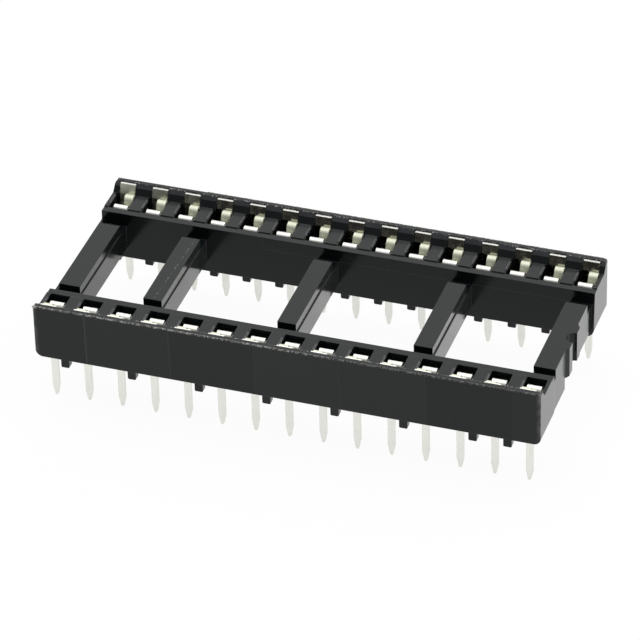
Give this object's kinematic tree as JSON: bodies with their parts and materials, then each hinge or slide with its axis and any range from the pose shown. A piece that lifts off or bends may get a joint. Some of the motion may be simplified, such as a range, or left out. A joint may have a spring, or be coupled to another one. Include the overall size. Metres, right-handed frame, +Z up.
{
  "type": "dip socket",
  "caption": "Open-frame dual-in-line socket: a moulded ladder body with a notched end bar, and stamped spring contacts with straight solder tails.",
  "frame": {"origin": "centre of the footprint on the board's upper face, level with the soles of the feet", "axes": "+X along the rows towards the notched end, +Y across to the row with the first contact, +Z up from the board"},
  "size_m": [0.0376, 0.0176, 0.0083],
  "materials": {
    "housing": "black glass-filled moulding with a satin surface",
    "contact": "stamped copper alloy strip with a matte tin plating"
  },
  "bodies": {
    "root": {"housing": "housing", "contact_01": "contact", "contact_02": "contact", "contact_03": "contact", "contact_04": "contact", "contact_05": "contact", "contact_06": "contact", "contact_07": "contact", "contact_08": "contact", "contact_09": "contact", "contact_10": "contact", "contact_11": "contact", "contact_12": "contact", "contact_13": "contact", "contact_14": "contact", "contact_15": "contact", "contact_16": "contact", "contact_17": "contact", "contact_18": "contact", "contact_19": "contact", "contact_20": "contact", "contact_21": "contact", "contact_22": "contact", "contact_23": "contact", "contact_24": "contact", "contact_25": "contact", "contact_26": "contact", "contact_27": "contact", "contact_28": "contact", "contact_29": "contact", "contact_30": "contact"}
  },
  "joints": []
}
